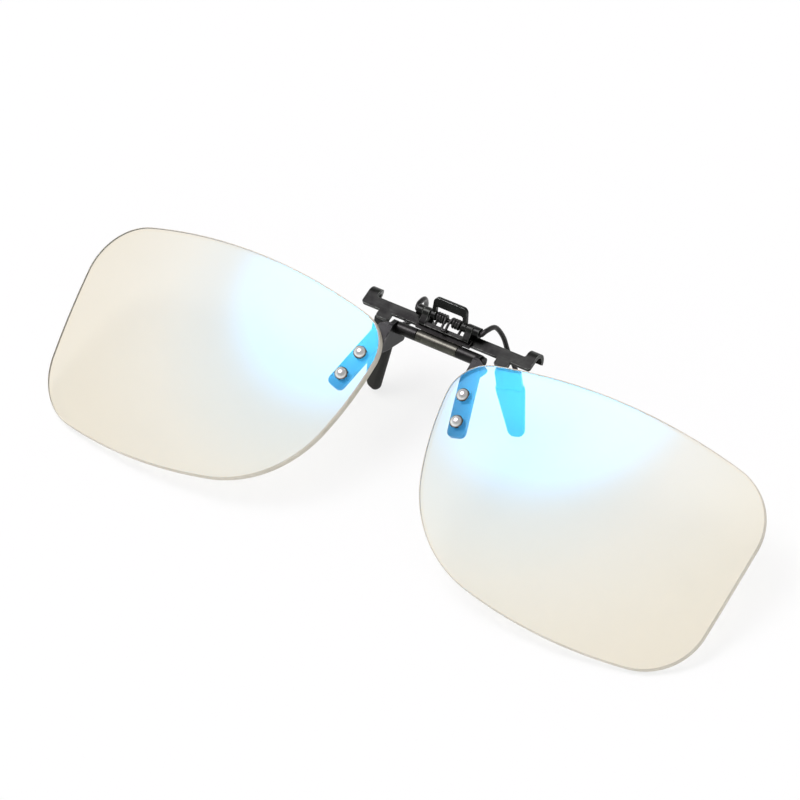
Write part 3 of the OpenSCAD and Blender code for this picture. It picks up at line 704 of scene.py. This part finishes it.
# Lens outline: four bowed edges joined by tangent corner arcs
def outline():
    def towards(a):
        return Vector((math.cos(rad(a)), math.sin(rad(a))))

    def bearing(p):
        return math.degrees(math.atan2(p.y, p.x))

    def nearest(a):
        return (a + 180) % 360 - 180

    bows = [towards(a) * (d - r) for a, d, r in zip(EDGE_A, EDGE_D, EDGE_R)]
    n, corners = len(bows), []
    for i in range(n):
        j, r = (i + 1) % n, CORNER_R[i]
        r1, r2 = EDGE_R[i] - r, EDGE_R[j] - r
        e = bows[j] - bows[i]
        dist = e.length
        e = e / dist
        a = (r1 * r1 - r2 * r2 + dist * dist) / (2 * dist)
        h = math.sqrt(max(0, r1 * r1 - a * a))
        outward = towards(EDGE_A[i]) + towards(EDGE_A[j])
        both = [bows[i] + a * e + s * h * Vector((-e.y, e.x)) for s in (1, -1)]
        corners.append(max(both, key=lambda q: q.dot(outward)))
    points = []
    for i in range(n):
        j = (i + 1) % n
        a0 = bearing(corners[i] - bows[i])
        a1 = a0 + nearest(bearing(corners[i] - bows[j]) - a0)
        points += [corners[i] + CORNER_R[i] * towards(a0 + (a1 - a0) * k / CORNER_STEPS)
                   for k in range(CORNER_STEPS + 1)]
        b0 = bearing(corners[i] - bows[j])
        b1 = b0 + nearest(bearing(corners[j] - bows[j]) - b0)
        points += [bows[j] + EDGE_R[j] * towards(b0 + (b1 - b0) * k / EDGE_STEPS)
                   for k in range(1, EDGE_STEPS)]
    return points


# Whether a point is inside a closed outline
def inside(ring, p):
    hit = False
    for i in range(len(ring)):
        a, b = ring[i - 1], ring[i]
        if (a.y > p.y) != (b.y > p.y) and p.x < (b.x - a.x) * (p.y - a.y) / (b.y - a.y) + a.x:
            hit = not hit
    return hit


# A place on the lens seen from the front
def flat(p):
    return Vector((p.x, p.z))


# Right lens about its middle: faces with a material, a zone that shades by itself and corner normals
class LensMesh:
    GLASS, RIM = 0, 1
    FRONT, BACK, FRONT_BEVEL, WALL, BACK_BEVEL, HOLE = range(6)

    def __init__(self):
        self.verts, self.faces, self.mats, self.zones, self.normals = [], [], [], [], []
        self.ring = outline()
        n = len(self.ring)
        steps = [(self.ring[(i + 1) % n] - self.ring[i - 1]).normalized() for i in range(n)]
        self.out = [Vector((t.y, -t.x)) for t in steps]
        self.inset = [p - RIM_BEVEL * o for p, o in zip(self.ring, self.out)]
        self.centre = Vector((0, BASE_R, 0))
        self.grid = self.spread()
        front = self.sheet(BASE_R, self.FRONT)
        back = self.sheet(BASE_R - LENS_T, self.BACK)
        self.rim(front, back)
        self.bores(front, back)

    def lifted(self, p, r):
        return Vector((p[0], BASE_R - math.sqrt(r * r - p[0] ** 2 - p[1] ** 2), p[1]))

    def face(self, ids, mat, zone, normals):
        self.faces.append(ids)
        self.mats.append(mat)
        self.zones.append(zone)
        self.normals.append(normals)

    # Points that fill the outline
    def spread(self):
        points = []
        for j in range(-GRID_ROWS, GRID_ROWS + 1):
            for i in range(-GRID_COLUMNS, GRID_COLUMNS + 1):
                p = Vector(((i + 0.5 * (j % 2)) * GRID_STEP, j * GRID_RISE))
                if inside(self.ring, p) and min((p - q).length for q in self.ring) > RIM_CLEAR:
                    points.append(p)
        return points

    # Edges of the rivet holes on a sphere
    def holes(self, r):
        turn, found = rivet_turn(), []
        for hx, hz in rivet_spots():
            edge = []
            for k in range(HOLE_STEPS):
                a = 2 * math.pi * k / HOLE_STEPS
                x, z = hx + HOLE_R * math.cos(a), hz + HOLE_R * math.sin(a)
                edge.append(self.centre + turn @ Vector((x, -math.sqrt(r * r - x * x - z * z), z)))
            found.append(edge)
        return found

    # One face of the lens: outline, holes and grid, joined by triangles
    def sheet(self, r, zone):
        holes = self.holes(r)
        loops = [self.inset] + [[flat(q) for q in hole] for hole in holes]
        clear = [g for g in self.grid
                 if min((g - flat(q)).length for hole in holes for q in hole) > HOLE_CLEAR]
        points = [p for loop in loops for p in loop] + clear
        edges, start = [], 0
        for loop in loops:
            m = len(loop)
            edges += [(start + i, start + (i + 1) % m) for i in range(m)]
            start += m
        first = len(self.verts)
        self.verts += [self.lifted(p, r) for p in self.inset]
        self.verts += [q for hole in holes for q in hole]
        self.verts += [self.lifted(p, r) for p in clear]
        found = delaunay_2d_cdt(points, edges, [], 0, SAME_POINT)
        sources = [ids[0] for ids in found[3]]
        n = len(self.inset)
        hole_ids = [range(n + h * HOLE_STEPS, n + (h + 1) * HOLE_STEPS) for h in range(len(holes))]
        for triangle in found[2]:
            ids = [sources[i] for i in triangle]
            middle = sum((points[i] for i in ids), Vector((0, 0))) / len(ids)
            if not inside(self.ring, middle) or any(all(i in hole for i in ids) for hole in hole_ids):
                continue
            a, b, c = (points[i] for i in ids[:3])
            ids = [first + i for i in ids]
            if ((b - a).cross(c - a) > 0) == (zone == self.BACK):
                ids.reverse()
            way = -1 if zone == self.BACK else 1
            self.face(ids, self.GLASS, zone, [way * (self.verts[i] - self.centre).normalized() for i in ids])
        return first

    # A small bevel at each face and the wall between them
    def rim(self, front, back):
        sink, n = Vector((0, RIM_BEVEL, 0)), len(self.ring)
        wall_front = len(self.verts)
        self.verts += [self.lifted(p, BASE_R) + sink for p in self.ring]
        wall_back = len(self.verts)
        self.verts += [self.lifted(p, BASE_R - LENS_T) - sink for p in self.ring]
        ahead = Vector((0, -1, 0))
        bands = ((self.FRONT_BEVEL, front, wall_front, ahead), (self.WALL, wall_front, wall_back, Vector()),
                 (self.BACK_BEVEL, wall_back, back, -ahead))
        for i in range(n):
            j = (i + 1) % n
            for zone, a, b, lean in bands:
                at_i, at_j = ((Vector((self.out[k].x, 0, self.out[k].y)) + lean).normalized() for k in (i, j))
                self.face([b + i, b + j, a + j, a + i], self.RIM, zone, [at_i, at_j, at_j, at_i])

    # Walls of the rivet holes
    def bores(self, front, back):
        for h in range(len(rivet_spots())):
            s = len(self.inset) + HOLE_STEPS * h
            middle = sum((self.verts[front + s + k] for k in range(HOLE_STEPS)), Vector()) / HOLE_STEPS
            for i in range(HOLE_STEPS):
                j = (i + 1) % HOLE_STEPS
                ids = [back + s + j, back + s + i, front + s + i, front + s + j]
                self.face(ids, self.RIM, self.HOLE, [(middle - self.verts[q]).normalized() for q in ids])


# A place on the right lens, or on the left one by its mirror
def on_lens(p, turn):
    return stand(turn(lens_worn(tuple(p))))


lens = LensMesh()
for side, turn in SIDES.items():
    v = [on_lens(p, turn) for p in lens.verts]
    obj = piece(f"{side}_curved_lens", v, lens.faces, [lens_clear, lens_rim], "lens_pair", f"{side}_lens",
                flip=side == "left")
    mesh = obj.data
    mesh.polygons.foreach_set("material_index", lens.mats)
    zones_at = {}
    for poly in mesh.polygons:
        for key in poly.edge_keys:
            zones_at.setdefault(key, set()).add(lens.zones[poly.index])
    for e in mesh.edges:
        e.use_edge_sharp = len(zones_at.get(tuple(sorted(e.vertices)), ())) > 1
    corners = []
    for normals in lens.normals:
        row = [(on_lens(q, turn) - on_lens((0, 0, 0), turn)).normalized() for q in normals]
        corners += list(reversed(row)) if side == "left" else row
    mesh.normals_split_custom_set(corners)

# Floor under the object
bm = bmesh.new()
bmesh.ops.create_circle(bm, cap_ends=True, segments=96, radius=FLOOR_R)
floor_mesh = bpy.data.meshes.new("floor")
bm.to_mesh(floor_mesh)
bm.free()
floor_mesh.materials.append(pale_floor("floor_white"))
floor = bpy.data.objects.new("floor", floor_mesh)
floor.location.z = -FLOOR_DROP * MM
bpy.context.scene.collection.objects.link(floor)


# Studio light: pale walls near the horizon, a dimmer ceiling and one soft overhead light with a halo
def studio():
    w = Nodes(bpy.data.worlds.new("studio"), "ShaderNodeOutputWorld")
    way = w.add("ShaderNodeTexCoord").outputs["Generated"]
    angle = w.math("ARCCOSINE", w.vector("DOT_PRODUCT", way, LAMP.normalized())["Value"])
    height = w.fill(w.add("ShaderNodeSeparateXYZ"), Vector=way).outputs["Z"]

    def graded(kind, value, start, end, low, high):
        n = w.add("ShaderNodeMapRange", interpolation_type=kind)
        w.fill(n, Value=value, From_Min=start, From_Max=end, To_Min=low, To_Max=high)
        return n.outputs["Result"]

    core = graded("SMOOTHERSTEP", angle, rad(20.5), rad(4.5), 0.0, 9.2)
    halo = graded("SMOOTHSTEP", angle, rad(42), rad(4), 0.0, 1.9)
    walls = graded("SMOOTHSTEP", height, 0.05, 0.6, 0.97, 0.45)
    # The light turns a little violet towards its edge: angle and share of green
    greens = ((7.0, 1.03), (13.0, 0.86), (20.0, 0.86), (40.0, 1.0))
    tone = w.ramp(angle, *((rad(a), (1.0, green, 1.0)) for a, green in greens))
    light = w.add("ShaderNodeBackground")
    w.fill(light, Color=tone, Strength=w.math("ADD", w.math("ADD", core, halo), walls))
    return w.surface(light.outputs["Background"])


bpy.context.scene.world = studio()

# Camera at the photograph's viewpoint
cam = bpy.data.cameras.new("camera")
cam.sensor_width = SENSOR
cam.lens = SENSOR * FOCAL_PX / PICTURE_PX
cam.clip_start, cam.clip_end = 0.01, 30.0
cam_obj = bpy.data.objects.new("camera", cam)
facing = Matrix((CAMERA_RIGHT, -CAMERA_DOWN, -CAMERA_AHEAD)).transposed().to_4x4()
cam_obj.matrix_world = Matrix.Translation(CAMERA_AT) @ facing
bpy.context.scene.collection.objects.link(cam_obj)
bpy.context.scene.camera = cam_obj
bpy.context.scene.view_settings.view_transform = "Standard"
